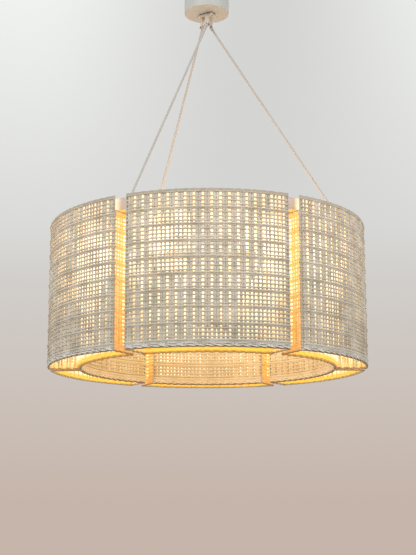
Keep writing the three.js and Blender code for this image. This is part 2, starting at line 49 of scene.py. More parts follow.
RING, MOUNT = "hanging_ring", "ceiling_mount"
SHADE_COUNT = 6
SHADE_LOW, SHADE_HIGH = (corner.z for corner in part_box("woven_shade_1"))
SHADE_OUTER = -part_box("woven_shade_1")[0].y
SHADE_DEPTH = 96 * MM
SHADE_WALL = 8 * MM
SHADE_GAP = 32 * MM
SHADE_HALF = math.pi / SHADE_COUNT - SHADE_GAP / SHADE_OUTER / 2
WALL_OUTER = SHADE_OUTER - SHADE_WALL / 2
WALL_INNER = SHADE_OUTER - SHADE_DEPTH + SHADE_WALL / 2
CHANNEL_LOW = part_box("ring_channel")[0].z
CHANNEL_WIDTH = 58 * MM
CHANNEL_RADIUS = SHADE_OUTER - 50 * MM

# The weave: pairs of upright cords, rows of cords around them, a double row at each band, ropes on the rims
WALL_KIND = (1.0, 2.0, 1.0, 2.0)    # outer wall, end wall, inner wall, end wall
WALL_PAIRS = (19, 4, 15, 4)
ROW_STOUT = (1.0, 1.0, 1.42, 1.0)
UPRIGHT_STOUT = (1.0, 1.0, 1.14, 1.0)
CORD, ROPE = 2.35 * MM, 3.2 * MM
SWING, LAYER = 0.6 * MM, 1.5 * MM
ROW_PITCH, ROW_SETTLE, ROW_GIRTH = 10.75 * MM, 1.95 * MM, 1.04
BAND_ROWS, BAND_COUNT, BAND_GIRTH = 4, 9, 1.34
BAND_PROUD, BAND_RISE, BAND_DROP = 0.9 * MM, 1.2 * MM, 2.9 * MM
FIRST_BAND = SHADE_LOW + 17 * MM
NOTCH = CHANNEL_LOW - 4.9 * MM
RIM_DROP = 1.45 * ROPE
CORNER_CUT, CORNER_INSET = 1.3 * MM, 2.4 * MM
ROW_STEP, FINE_STEP, UPRIGHT_STEP = 5.7 * MM, 3 * MM, 4.3 * MM
SLACK_SCALE = 16.0
PAIR_SCALE, PAIR_STRETCH, PAIR_OPENS, PAIR_SEED = 9.0, 0.55, (0.40, 0.66), 3.1


def polar(radius, angle, z=0.0):
    return Vector((radius * math.cos(angle), radius * math.sin(angle), z))


# Objects


def new_object(name, data):
    thing = bpy.data.objects.new(name, data)
    bpy.context.scene.collection.objects.link(thing)
    return thing


def from_bmesh(name, bm, sharp=35):
    bmesh.ops.remove_doubles(bm, verts=bm.verts, dist=1e-6)
    bmesh.ops.recalc_face_normals(bm, faces=bm.faces)
    mesh = bpy.data.meshes.new(name)
    bm.to_mesh(mesh)
    bm.free()
    mesh.shade_smooth()
    mesh.set_sharp_from_angle(angle=math.radians(sharp))
    return new_object(name, mesh)


def lathe_into(bm, outline, steps, place):
    """Turns [radius, height] pairs about Z into bm. Points on the axis become one point."""
    rings = []
    for radius, height in outline:
        count = steps if radius > 1e-7 else 1
        ring = [bm.verts.new(place @ polar(radius, i * 2 * math.pi / steps, height)) for i in range(count)]
        rings.append(ring)
    for low, high in zip(rings, rings[1:]):
        for i in range(steps):
            j = (i + 1) % steps
            corners = [low[i % len(low)], low[j % len(low)], high[j % len(high)], high[i % len(high)]]
            corners = [v for n, v in enumerate(corners) if v not in corners[:n]]
            if len(corners) > 2:
                bm.faces.new(corners)


def lathe(name, outline, steps, place=Matrix.Identity(4)):
    bm = bmesh.new()
    lathe_into(bm, outline, steps, place)
    return from_bmesh(name, bm)


def arc(centre, radius, start, end, steps):
    """Points of an arc of an outline; the angles are in degrees."""
    angles = [math.radians(start + (end - start) * i / steps) for i in range(steps + 1)]
    return [(centre[0] + radius * math.cos(a), centre[1] + radius * math.sin(a)) for a in angles]


def prism_into(bm, outline, low, high, place):
    """An outline in XZ, stretched along Y between two places."""
    rings = [[bm.verts.new(place @ Vector((x, y, z))) for x, z in outline] for y in (low, high)]
    bm.faces.new(rings[0])
    bm.faces.new(rings[1][::-1])
    for i in range(len(outline)):
        j = (i + 1) % len(outline)
        bm.faces.new([rings[0][i], rings[1][i], rings[1][j], rings[0][j]])


def box_into(bm, size, centre, place):
    x, y, z = size
    outline = [(-x / 2, -z / 2), (x / 2, -z / 2), (x / 2, z / 2), (-x / 2, z / 2)]
    prism_into(bm, outline, -y / 2, y / 2, place @ Matrix.Translation(centre))


def soften(thing, width):
    bevel = thing.modifiers.new("soft edges", "BEVEL")
    bevel.width = width
    bevel.segments = 2
    bevel.limit_method = "ANGLE"
    bevel.angle_limit = math.radians(40)
    bevel.harden_normals = True
    return thing


# Node trees


class Nodes:
    """Short calls for making and linking the nodes of one tree."""

    def __init__(self, tree):
        self.tree = tree

    def fill(self, node, inputs):
        """Gives each input of a node its value, or links it to another node's output."""
        for key, value in inputs.items():
            socket = node.inputs[key]
            if isinstance(value, bpy.types.NodeSocket):
                self.tree.links.new(value, socket)
            else:
                socket.default_value = value

    def put(self, kind, inputs=None, **settings):
        node = self.tree.nodes.new(kind)
        for key, value in settings.items():
            setattr(node, key, value)
        self.fill(node, inputs or {})
        return node

    def geo(self, kind, inputs=None, **settings):
        """The first output of a new geometry node."""
        return self.put("GeometryNode" + kind, inputs, **settings).outputs[0]

    def math(self, operation, a, b=0.0, c=0.0):
        return self.put("ShaderNodeMath", {0: a, 1: b, 2: c}, operation=operation).outputs[0]

    def times(self, a, b):
        return self.math("MULTIPLY", a, b)

    def plus(self, a, b):
        return self.math("ADD", a, b)

    def minus(self, a, b):
        return self.math("SUBTRACT", a, b)

    def most(self, a, b):
        return self.math("MAXIMUM", a, b)

    def vector(self, operation, a, b=(0, 0, 0), output="Vector"):
        return self.put("ShaderNodeVectorMath", {0: a, 1: b}, operation=operation).outputs[output]

    def scaled(self, a, scale):
        return self.put("ShaderNodeVectorMath", {0: a, "Scale": scale}, operation="SCALE").outputs[0]

    def parts(self, vector):
        return self.put("ShaderNodeSeparateXYZ", {0: vector}).outputs

    def joined(self, x=0.0, y=0.0, z=0.0):
        return self.put("ShaderNodeCombineXYZ", {0: x, 1: y, 2: z}).outputs[0]

    def normal(self):
        return self.put("ShaderNodeTexCoord").outputs["Normal"]

    def remap(self, value, start, end, low=0.0, high=1.0, smooth=False):
        """A value that goes from start to end, as one that goes from low to high and stays between them."""
        inputs = {"Value": value, "From Min": start, "From Max": end, "To Min": low, "To Max": high}
        kind = "SMOOTHSTEP" if smooth else "LINEAR"
        return self.put("ShaderNodeMapRange", inputs, interpolation_type=kind).outputs[0]

    def noise(self, where, scale, detail=3.0):
        return self.put("ShaderNodeTexNoise", {"Vector": where, "Scale": scale, "Detail": detail}).outputs[0]

    def mix(self, share, a, b):
        return self.put("ShaderNodeMix", {0: share, 6: a, 7: b}, data_type="RGBA").outputs[2]

    def bump(self, height, distance, strength):
        inputs = {"Height": height, "Distance": distance, "Strength": strength}
        return self.put("ShaderNodeBump", inputs).outputs[0]


# Geometry Nodes: cords that follow outlines, and cords that stand on points


def geometry_tree(name, numbers, **others):
    """A tree that takes a geometry, named numbers, and inputs of other kinds, and gives a geometry."""
    tree = bpy.data.node_groups.new(name, "GeometryNodeTree")
    tree.interface.new_socket("Geometry", in_out="OUTPUT", socket_type="NodeSocketGeometry")
    kinds = {"Geometry": "Geometry", **dict.fromkeys(numbers, "Float"), **others}
    for label, kind in kinds.items():
        tree.interface.new_socket(label, in_out="INPUT", socket_type="NodeSocket" + kind)
    nodes = Nodes(tree)
    return nodes, nodes.put("NodeGroupInput").outputs


def named(nodes, name, kind="FLOAT"):
    return nodes.geo("InputNamedAttribute", {"Name": name}, data_type=kind)


def kept(nodes, geometry, kind, name, value):
    """The geometry with a value kept on it, and the value as it was there."""
    node = nodes.put("GeometryNodeCaptureAttribute", {"Geometry": geometry})
    node.capture_items.new(kind, name)
    nodes.fill(node, {1: value})
    return node.outputs[0], node.outputs[1]


def clothe(nodes, given, curves, girth):
    """Gives curves their round section, a twist attribute for the finish, and the material."""
    length = nodes.put("GeometryNodeSplineParameter").outputs["Length"]
    curves, run = kept(nodes, curves, "FLOAT", "run", length)
    circle = nodes.geo("CurvePrimitiveCircle", {"Resolution": given["Sides"], "Radius": given["Cord"]})
    direction = nodes.vector("NORMALIZE", nodes.geo("InputPosition"))
    circle, around = kept(nodes, circle, "VECTOR", "around", direction)
    x, y, _ = nodes.parts(around)
    sweep = {"Curve": curves, "Profile Curve": circle, "Scale": girth, "Fill Caps": True}
    store = {"Geometry": nodes.geo("CurveToMesh", sweep), "Name": "twist", "Value": nodes.joined(x, y, run)}
    mesh = nodes.geo("StoreNamedAttribute", store, data_type="FLOAT_VECTOR", domain="POINT")
    mesh = nodes.geo("SetShadeSmooth", {"Geometry": mesh})
    mesh = nodes.geo("RealizeInstances", {"Geometry": mesh})
    mesh = nodes.geo("SetMaterial", {"Geometry": mesh, "Material": given["Material"]})
    nodes.put("NodeGroupOutput", {"Geometry": mesh})


def instances(nodes, points, shape, scale=(1, 1, 1)):
    """The shape on every point, as real geometry that keeps the points' attributes."""
    inputs = {"Points": points, "Instance": shape, "Scale": scale}
    return nodes.geo("RealizeInstances", {"Geometry": nodes.geo("InstanceOnPoints", inputs)})


def moved(nodes, geometry, shift):
    return nodes.geo("SetPosition", {"Geometry": geometry, "Offset": shift})


def wander(nodes, place, scale, seed, low, high):
    """A slow noise over the object's own space, as a number between low and high."""
    shifted = nodes.vector("ADD", place, nodes.scaled((1.0, 1.7, 2.3), seed))
    return nodes.remap(nodes.noise(shifted, scale, 1.0), 0.3, 0.7, low, high)


def row_tree():
    """Each point of the mesh carries the outlines at its height, and keeps only those of the kind that it
    wants. The cord swings out and up as it passes the pairs."""
    nodes, given = geometry_tree(
        "cord rows", ("Cord", "Swing Out", "Swing Up", "Layer", "Slack", "Seed"),
        Outlines="Object", Sides="Int", Material="Material")
    outlines = nodes.put("GeometryNodeObjectInfo", {"Object": given["Outlines"]}).outputs["Geometry"]
    rows = instances(nodes, given["Geometry"], nodes.geo("MeshToCurve", {"Mesh": outlines}))
    unlike = nodes.minus(1.0, nodes.math("COMPARE", named(nodes, "kind"), named(nodes, "wants"), 0.5))
    rows = nodes.geo("DeleteGeometry", {"Geometry": rows, "Selection": unlike}, domain="CURVE")
    wave = nodes.times(nodes.plus(named(nodes, "phase"), named(nodes, "row")), math.pi)
    sideways = nodes.vector("CROSS_PRODUCT", nodes.geo("InputTangent"), (0, 0, 1))
    outward = nodes.vector("NORMALIZE", sideways)
    out = nodes.math("MULTIPLY_ADD", nodes.math("SINE", wave), given["Swing Out"], given["Layer"])
    out = nodes.plus(out, named(nodes, "proud"))
    up = nodes.times(nodes.math("COSINE", wave), given["Swing Up"])
    slow = wander(nodes, nodes.geo("InputPosition"), SLACK_SCALE, given["Seed"], -1.0, 1.0)
    loose = nodes.times(slow, given["Slack"])
    lift = nodes.joined(z=nodes.plus(up, loose))
    rows = moved(nodes, rows, nodes.vector("ADD", nodes.scaled(outward, out), lift))
    clothe(nodes, given, rows, nodes.times(named(nodes, "girth"), named(nodes, "stout")))
    return nodes.tree


def upright_tree():
    """Each point of the mesh grows an upright cord. The two cords of a pair draw together or apart along
    the wall by a slow noise, and swing out and in between the rows. A closed pair is stouter, as is every
    pair near the foot, where the rows press it flat."""
    numbers = ("Cord", "Step", "Swing Out", "Layer", "Row Pitch", "First Row", "Closed", "Open",
               "Closed Girth", "Open Girth", "Foot Low", "Foot High", "Foot Girth", "Seed")
    nodes, given = geometry_tree("upright cords", numbers, Sides="Int", Material="Material")
    line = nodes.geo("CurvePrimitiveLine", {"Start": (0, 0, 0), "End": (0, 0, 1)})
    cords = instances(nodes, given["Geometry"], line, nodes.joined(1.0, 1.0, named(nodes, "height")))
    cords = nodes.geo("ResampleCurve", {"Curve": cords, "Length": given["Step"]}, mode="LENGTH")
    place = nodes.geo("InputPosition")
    height = nodes.parts(place)[2]
    rows = nodes.math("DIVIDE", nodes.minus(height, given["First Row"]), given["Row Pitch"])
    wave = nodes.times(nodes.plus(rows, named(nodes, "column")), math.pi)
    out = nodes.math("MULTIPLY_ADD", nodes.math("COSINE", wave), given["Swing Out"], given["Layer"])
    tall = nodes.vector("MULTIPLY", place, (1.0, 1.0, PAIR_STRETCH))
    slow = wander(nodes, tall, PAIR_SCALE, given["Seed"], 0.0, 1.0)
    opened = nodes.times(nodes.remap(slow, *PAIR_OPENS, smooth=True), named(nodes, "paired"))
    apart = nodes.times(nodes.remap(opened, 0.0, 1.0, given["Closed"], given["Open"]), named(nodes, "side"))
    shift = nodes.scaled(named(nodes, "outward", "FLOAT_VECTOR"), nodes.times(out, -1.0))
    along = nodes.scaled(named(nodes, "along", "FLOAT_VECTOR"), apart)
    cords = moved(nodes, cords, nodes.vector("ADD", shift, along))
    girth = nodes.remap(opened, 0.0, 1.0, given["Closed Girth"], given["Open Girth"])
    pressed = nodes.remap(height, given["Foot Low"], given["Foot High"], given["Foot Girth"], 1.0)
    girth = nodes.times(girth, pressed)
    clothe(nodes, given, cords, nodes.times(girth, named(nodes, "girth")))
    return nodes.tree


def points_object(name, points, edges=(), **attributes):
    """An object of bare points, with a named list of numbers or vectors on them for each attribute."""
    mesh = bpy.data.meshes.new(name)
    mesh.from_pydata(points, edges, [])
    for label, values in attributes.items():
        if isinstance(values[0], Vector):
            layer = mesh.attributes.new(label, "FLOAT_VECTOR", "POINT")
            layer.data.foreach_set("vector", [c for v in values for c in v])
        else:
            layer = mesh.attributes.new(label, "FLOAT", "POINT")
            layer.data.foreach_set("value", values)
    return new_object(name, mesh)


def grow(name, source, tree, values):
    """The plain mesh that a tree makes of the source object, which is then removed."""
    modifier = source.modifiers.new("grow", "NODES")
    modifier.node_group = tree
    for item in tree.interface.items_tree:
        if item.in_out == "INPUT" and item.name in values:
            modifier[item.identifier] = values[item.name]
    evaluated = source.evaluated_get(bpy.context.evaluated_depsgraph_get())
    mesh = bpy.data.meshes.new_from_object(evaluated)
    mesh.name = name
    bpy.data.objects.remove(source)
    return new_object(name, mesh)


# Materials


def finish(name):
    """A new material: its nodes, its main shader and its object coordinates."""
    material = bpy.data.materials.new(name)
    material.use_nodes = True
    shader = material.node_tree.nodes["Principled BSDF"]
    nodes = Nodes(material.node_tree)
    return material, nodes, shader, nodes.put("ShaderNodeTexCoord").outputs["Object"]


def srgb(red, green, blue):
    def linear(value):
        share = value / 255
        return share / 12.92 if share <= 0.04045 else ((share + 0.055) / 1.055) ** 2.4
    return (linear(red), linear(green), linear(blue), 1.0)


# The lamps' glow, painted as emission on the cords and the channel: where it begins and ends, then its
# strengths, low and high up where there are two

LAMP_HEIGHT, LAMP_REACH = SHADE_LOW + 300 * MM, 110 * MM
GLOW_RISE = SHADE_LOW + 10 * MM, SHADE_LOW + 230 * MM
YELLOW_STRIP = SHADE_LOW + 13 * MM, SHADE_LOW + 23 * MM
CLEAR_OF_RIM = SHADE_LOW + 2 * MM, SHADE_LOW + 6 * MM
END_WALL = SHADE_HALF - math.radians(1.3), SHADE_HALF - math.radians(0.9)
END_MIDDLE, END_REACH = CHANNEL_RADIUS + 2 * MM, 40 * MM
WITHIN_SHADE = SHADE_HALF + 0.02, SHADE_HALF - 0.03
FACING_LAMPS = -0.08, 0.8
ORANGE_FRINGE = 0.1, 0.7
GLOW_EVEN, GLOW_NEAR = (0.79, 1.0), 0.62
GLOW_THROUGH = 0.4, 0.84
GLOW_SEEP, GLOW_END, GLOW_CHANNEL, GLOW_UNDERSIDE = 0.07, 0.54, 0.6, 0.85
WARMED_INNER, WARMED_LOW, END_CLEAR = 0.3, 0.55, 0.8


def from_middle(nodes, where):
    """The angle from the middle of the shade that a place is in, above zero on the counterclockwise side."""
    x, y, _ = nodes.parts(where)
    angle = nodes.plus(nodes.math("ARCTAN2", y, x), math.pi / 2 + math.pi / SHADE_COUNT)
    angle = nodes.math("FLOORED_MODULO", angle, 2 * math.pi / SHADE_COUNT)
    return nodes.minus(angle, math.pi / SHADE_COUNT)


class CordPlace:
    """Where a place on the cords lies in its shade, and which way the cord faces there."""

    def __init__(self, nodes, where):
        x, y, z = nodes.parts(where)
        flat = nodes.joined(x, y)
        radius = nodes.vector("LENGTH", flat, output="Value")
        spoke = nodes.vector("NORMALIZE", flat)
        across = nodes.vector("CROSS_PRODUCT", spoke, (0, 0, 1))
        turn = from_middle(nodes, where)
        self.angle = nodes.math("ABSOLUTE", turn)
        self.inner = nodes.math("LESS_THAN", radius, CHANNEL_RADIUS)
        within = nodes.math("COMPARE", radius, END_MIDDLE, END_REACH)
        self.end = nodes.times(nodes.remap(self.angle, *END_WALL), within)
        self.outward = nodes.vector("DOT_PRODUCT", nodes.normal(), spoke, output="Value")
        self.radial = nodes.times(self.outward, nodes.minus(nodes.times(self.inner, 2.0), 1.0))
        inward = nodes.vector("DOT_PRODUCT", nodes.normal(), across, output="Value")
        self.inward = nodes.times(nodes.times(inward, nodes.math("SIGN", turn)), self.end)
        self.facing = nodes.most(nodes.remap(self.radial, *FACING_LAMPS), self.inward)
        self.height = nodes.remap(z, *GLOW_RISE, smooth=True)
        self.above_strip = nodes.remap(z, *YELLOW_STRIP)
        self.clear_of_rim = nodes.remap(z, *CLEAR_OF_RIM)
        self.z = z


def turned_from(nodes, value):
    """How far the cord faces the other way."""
    return nodes.most(nodes.times(value, -1.0), 0.0)


def lamp_nearness(nodes, place):
    """One beside a lamp, falling off with the distance along the wall."""
    beside = nodes.times(nodes.minus(place.angle, math.pi / SHADE_COUNT / 2), CHANNEL_RADIUS)
    above = nodes.minus(place.z, LAMP_HEIGHT)
    square = nodes.plus(nodes.math("POWER", beside, 2.0), nodes.math("POWER", above, 2.0))
    return nodes.math("DIVIDE", 1.0, nodes.plus(1.0, nodes.math("DIVIDE", square, LAMP_REACH ** 2)))


def inside_glow(nodes, place, near):
    """Painted light on the sides that face the lamps: cream high up, yellow at the foot, orange as a side
    turns.
    """
    low_colour = nodes.mix(place.end, srgb(255, 250, 222), srgb(255, 243, 182))
    colour = nodes.mix(place.height, low_colour, srgb(255, 243, 218))
    clear = nodes.most(place.above_strip, nodes.times(place.inward, END_CLEAR))
    colour = nodes.mix(clear, srgb(246, 182, 46), colour)
    toward = nodes.remap(nodes.most(place.radial, place.inward), *ORANGE_FRINGE)
    colour = nodes.mix(toward, srgb(255, 170, 76), colour)
    even = nodes.remap(place.height, 0.0, 1.0, *GLOW_EVEN)
    strength = nodes.times(place.facing, nodes.math("MULTIPLY_ADD", near, GLOW_NEAR, even))
    return nodes.scaled(colour, strength)


def through_glow(nodes, place, away):
    """Fainter painted light on the inner walls' sides that face the middle of the ring, standing in for the
    light that passes through them.
    """
    colour = nodes.mix(place.height, srgb(255, 190, 94), srgb(255, 222, 160))
    return nodes.scaled(colour, nodes.times(away, nodes.remap(place.height, 0.0, 1.0, *GLOW_THROUGH)))


def seep_glow(nodes, place, near):
    """A trace of painted light on the outer walls' outward sides, beside the lamps."""
    outside = nodes.times(turned_from(nodes, place.radial), nodes.minus(1.0, place.inner))
    return nodes.scaled(srgb(255, 190, 100)[:3], nodes.times(outside, nodes.times(near, GLOW_SEEP)))


def lamp_glow(nodes, where):
    """The lamps' light painted on the cords as emission, and how far it is also painted into the cord's
    colour as a warm tint.
    """
    place = CordPlace(nodes, where)
    near = lamp_nearness(nodes, place)
    away = nodes.times(turned_from(nodes, place.outward), place.inner)
    # Painted light on the end walls' sides that face the gaps, orange low down and yellow high up.
    end_side = nodes.times(turned_from(nodes, place.inward), GLOW_END)
    end_colour = nodes.mix(place.height, srgb(255, 160, 20), srgb(255, 202, 92))
    lit = nodes.vector("ADD", inside_glow(nodes, place, near), through_glow(nodes, place, away))
    lit = nodes.vector("ADD", lit, seep_glow(nodes, place, near))
    lit = nodes.vector("ADD", lit, nodes.scaled(end_colour, end_side))
    low = nodes.remap(place.height, 0.0, 1.0, WARMED_LOW, 0.0)
    yellowed = nodes.times(place.facing, nodes.most(nodes.minus(1.0, place.above_strip), low))
    warmed = nodes.most(nodes.most(yellowed, end_side), nodes.times(away, WARMED_INNER))
    return nodes.scaled(lit, place.clear_of_rim), warmed


# Materials of the cords, paints, metals and lamps

FIBRE_TURN = 9 * MM
LOWER_SHADE_RISE = SHADE_LOW + 20 * MM, SHADE_LOW + 200 * MM
PALE_FOOT = SHADE_LOW + 22 * MM, SHADE_LOW + 12 * MM
SHADED_RIM = SHADE_LOW + 12 * MM, SHADE_LOW + 7 * MM
SHADED_TOP = SHADE_HIGH - 10 * MM, SHADE_HIGH - 6 * MM


def edge_shade(nodes):
    """How much a cord's side turns up or down, where the neighbouring cords keep the light off."""
    upright = nodes.math("ABSOLUTE", nodes.parts(nodes.normal())[2])
    return nodes.remap(upright, 0.5, 0.95, 0.0, 0.38)


def cord_strands(nodes):
    """The height of three twisted strands around a cord, from -1 in their grooves to 1."""
    x, y, run = nodes.parts(nodes.put("ShaderNodeAttribute", attribute_name="twist").outputs["Vector"])
    around = nodes.times(nodes.math("ARCTAN2", y, x), 3.0)
    return nodes.math("SINE", nodes.plus(around, nodes.times(run, 2 * math.pi / FIBRE_TURN)))


def cord_colour(nodes, where, strands):
    """Undyed cord: a drifting tone and a paler rope at the foot, with painted shade: darker lower down, in
    the strands' grooves, on the cords' sides, on the undersides at the foot and on the top rim.
    """
    drift, grain = nodes.noise(where, 22.0), nodes.noise(where, 320.0, 2.0)
    share = nodes.remap(nodes.plus(nodes.times(drift, 0.7), nodes.times(grain, 0.3)), 0.35, 0.65)
    height = nodes.parts(where)[2]
    down = nodes.parts(nodes.normal())[2]
    # Painted shade: the cords are a darker tone lower down, for the light that falls off towards the foot.
    shaded_lower = nodes.mix(share, srgb(182, 176, 159), srgb(225, 219, 202))
    upper = nodes.mix(share, srgb(190, 185, 169), srgb(234, 228, 213))
    foot = nodes.mix(share, srgb(199, 199, 189), srgb(241, 241, 232))
    colour = nodes.mix(nodes.remap(height, *LOWER_SHADE_RISE), shaded_lower, upper)
    colour = nodes.mix(nodes.remap(height, *PALE_FOOT), colour, foot)
    # Painted shade in the strands' grooves and on the cords' up- and down-turned sides.
    colour = nodes.mix(nodes.remap(strands, -1.0, -0.2, 0.36, 0.0), colour, srgb(150, 142, 122))
    colour = nodes.mix(edge_shade(nodes), colour, srgb(112, 104, 84))
    # Painted shade on the undersides at the foot, and on the top rim, most on its upward sides.
    under = nodes.times(nodes.remap(down, -0.05, -0.55), nodes.remap(height, *SHADED_RIM))
    colour = nodes.mix(under, colour, srgb(128, 106, 76))
    above = nodes.times(nodes.remap(down, -0.1, 0.6, 0.3, 0.9), nodes.remap(height, *SHADED_TOP))
    return nodes.mix(above, colour, srgb(150, 143, 126))


def cord_finish():
    """Twisted natural cord: three strands, soft fibres, and the lamps' light painted on it as emission and
    as a warm tint of its colour.
    """
    material, nodes, shader, where = finish("twisted_cord")
    strands = cord_strands(nodes)
    glow, warmed = lamp_glow(nodes, where)
    # Painted shade on the painted glow, in the strands' grooves and on the cords' up- and down-turned sides.
    glow_shade = nodes.remap(strands, -1.0, 0.2, 0.72, 1.0)
    glow_shade = nodes.times(glow_shade, nodes.remap(edge_shade(nodes), 0.0, 1.0, 1.0, 0.5))
    relief = nodes.plus(strands, nodes.times(nodes.noise(where, 1400.0, 2.0), 0.6))
    # The warm base colour is painted lamplight, mixed in where the painted glow warms the cord.
    nodes.fill(shader, {
        "Base Color": nodes.mix(warmed, cord_colour(nodes, where, strands), srgb(224, 184, 104)),
        "Emission Color": nodes.scaled(glow, glow_shade), "Emission Strength": 1.0,
        "Normal": nodes.bump(relief, 0.35 * MM, 0.8), "Roughness": 0.9,
        "Sheen Weight": 0.25, "Sheen Roughness": 0.5,
    })
    material.cycles.emission_sampling = "NONE"
    return material


def darker(colour, share):
    return tuple(c * share for c in colour[:3]) + (1.0,)


def channel_glow(nodes, where):
    """The lamps' light painted as emission on the channel's underside and on its sides within the shades."""
    down = nodes.parts(nodes.normal())[2]
    below = nodes.math("LESS_THAN", nodes.parts(where)[2], CHANNEL_LOW + 4 * MM)
    underside = nodes.times(nodes.remap(down, -0.3, -1.0), nodes.times(below, GLOW_UNDERSIDE))
    upright = nodes.math("LESS_THAN", nodes.math("ABSOLUTE", down), 0.3)
    angle = nodes.math("ABSOLUTE", from_middle(nodes, where))
    enclosed = nodes.remap(angle, *WITHIN_SHADE, 0.0, GLOW_CHANNEL, smooth=True)
    side = nodes.scaled(srgb(255, 222, 170)[:3], nodes.times(upright, enclosed))
    return nodes.vector("ADD", nodes.scaled(srgb(252, 172, 60)[:3], underside), side)


def paint_finish(name, colour, roughness, peel=0.25, glow=None):
    """Powder coat: a fine orange peel, a faint unevenness in tone and gloss, and any light painted on it as
    emission.
    """
    material, nodes, shader, where = finish(name)
    cloud = nodes.noise(where, 9.0, 4.0)
    nodes.fill(shader, {
        "Base Color": nodes.mix(nodes.remap(cloud, 0.35, 0.65), darker(colour, 0.94), colour),
        "Roughness": nodes.remap(cloud, 0.3, 0.7, roughness - 0.05, roughness + 0.06),
        "Normal": nodes.bump(nodes.noise(where, 500.0, 2.0), 0.02 * MM, peel),
    })
    if glow:
        nodes.fill(shader, {"Emission Color": glow(nodes, where), "Emission Strength": 1.0})
        material.cycles.emission_sampling = "NONE"
    return material


def metal_finish(name, colour, roughness, streaks):
    """Plated metal with fine polishing marks."""
    material, nodes, shader, where = finish(name)
    drawn = nodes.vector("MULTIPLY", where, (1.0, 1.0, 12.0))
    marks = nodes.noise(drawn, streaks, 4.0)
    nodes.fill(shader, {
        "Base Color": nodes.mix(nodes.remap(marks, 0.3, 0.7), darker(colour, 0.86), colour),
        "Roughness": nodes.remap(marks, 0.3, 0.7, roughness * 0.7, roughness * 1.4),
        "Normal": nodes.bump(marks, 0.02 * MM, 0.4), "Metallic": 1.0,
    })
    return material


def moulded_finish(name, scale, detail, dark, pale, relief, roughness, coat):
    """Porcelain or plastic: a slightly uneven tone and surface."""
    material, nodes, shader, where = finish(name)
    cloud = nodes.noise(where, scale, detail)
    nodes.fill(shader, {
        "Base Color": nodes.mix(cloud, dark, pale), "Normal": nodes.bump(cloud, relief, 0.4),
        "Roughness": roughness, "Coat Weight": coat,
    })
    return material


def glass_finish():
    """Frosted glass, lit from inside: brightest at its belly, warmer towards the neck."""
    material, nodes, shader, where = finish("lit_frosted_glass")
    low, high = (corner.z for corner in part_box("bulb_01"))
    share = nodes.remap(nodes.parts(where)[2], low, high)
    frost = nodes.noise(where, 300.0, 2.0)
    nodes.fill(shader, {
        "Base Color": nodes.mix(frost, srgb(250, 244, 230), srgb(255, 250, 240)), "Roughness": 0.35,
        "Emission Color": nodes.mix(share, srgb(255, 236, 200), srgb(255, 205, 140)),
        "Emission Strength": 1.7, "Normal": nodes.bump(frost, 0.02 * MM, 0.3),
    })
    material.cycles.emission_sampling = "NONE"
    return material


CORD_LOOK = cord_finish()
WHITE_PAINT = paint_finish("white_powder_coat", srgb(186, 191, 189), 0.5)
HUB_PAINT = paint_finish("satin_hub_paint", srgb(212, 206, 196), 0.3)
ROD_PAINT = paint_finish("rod_powder_coat", srgb(181, 180, 175), 0.65, 0.05)
# The channel's white paint has a warm tone that stands in for the lamps' light on it, and painted lamplight
# as emission on its underside and sides.
CHANNEL_PAINT = paint_finish("channel_powder_coat", srgb(206, 191, 182), 0.45, glow=channel_glow)
FRAME_PAINT = paint_finish("frame_paint", srgb(184, 178, 162), 0.55)
CHROME = metal_finish("chrome_plate", srgb(158, 159, 162), 0.1, 240.0)
ZINC = metal_finish("zinc_plate", srgb(178, 180, 182), 0.38, 160.0)
CERAMIC = moulded_finish(
    "white_ceramic", 60.0, 3.0, srgb(226, 222, 212), srgb(244, 242, 236), 0.1 * MM, 0.25, 0.5)
JACKET = moulded_finish(
    "wire_jacket", 120.0, 2.0, srgb(214, 211, 203), srgb(236, 234, 228), 0.05 * MM, 0.55, 0.0)
LIT_GLASS = glass_finish()


def dress(thing, material, slot, body, *nodes):
    """Gives a piece its material and body, and hides the CAD nodes that it stands for; the slot is not used.
    """
    thing.data.materials.clear()
    thing.data.materials.append(material)
    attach(thing, body)
    if nodes:
        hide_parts(*nodes)


# The woven shades


def wall_path(index, step):
    """The four walls of a shade as lists of points on their middle surface, in order around the shade."""
    turn = -math.pi / 2 + index * 2 * math.pi / SHADE_COUNT
    halves = [SHADE_HALF - math.asin(SHADE_WALL / 2 / radius) for radius in (WALL_OUTER, WALL_INNER)]

    def along_arc(radius, start, end):
        count = round(abs(end - start) * radius / step)
        return [polar(radius, turn + start + (end - start) * i / count) for i in range(count + 1)]

    def along_line(start, end):
        count = round((end - start).length / step)
        return [start.lerp(end, i / count) for i in range(count + 1)]

    outer = along_arc(WALL_OUTER, -halves[0], halves[0])
    inner = along_arc(WALL_INNER, halves[1], -halves[1])
    return [outer, along_line(outer[-1], inner[0]), inner, along_line(inner[-1], outer[0])]


def shade_outlines(index, step):
    """Lines of points with their phase, counted in pairs, the cord's stoutness there, and the line's kind:
    0 for the whole loop, 1 for each curved wall alone, 2 for each end wall alone."""
    loop, lines, first = [], [], 0
    for wall, pairs, stout, kind in zip(wall_path(index, step), WALL_PAIRS, ROW_STOUT, WALL_KIND):
        last = len(wall) - 1
        cut = CORNER_CUT / (wall[1] - wall[0]).length
        alone = [(point, first + pairs * i / last, stout, kind) for i, point in enumerate(wall)]
        loop.append((wall[0].lerp(wall[1], cut), first + pairs * cut / last, stout, 0.0))
        loop += [(point, phase, stout, 0.0) for point, phase, _, _ in alone[1:-1]]
        loop.append((wall[-1].lerp(wall[-2], cut), first + pairs * (last - cut) / last, stout, 0.0))
        lines.append(alone)
        first += pairs
    point, phase, stout, kind = loop[0]
    loop.append((point, first + phase, stout, kind))
    return [loop] + lines


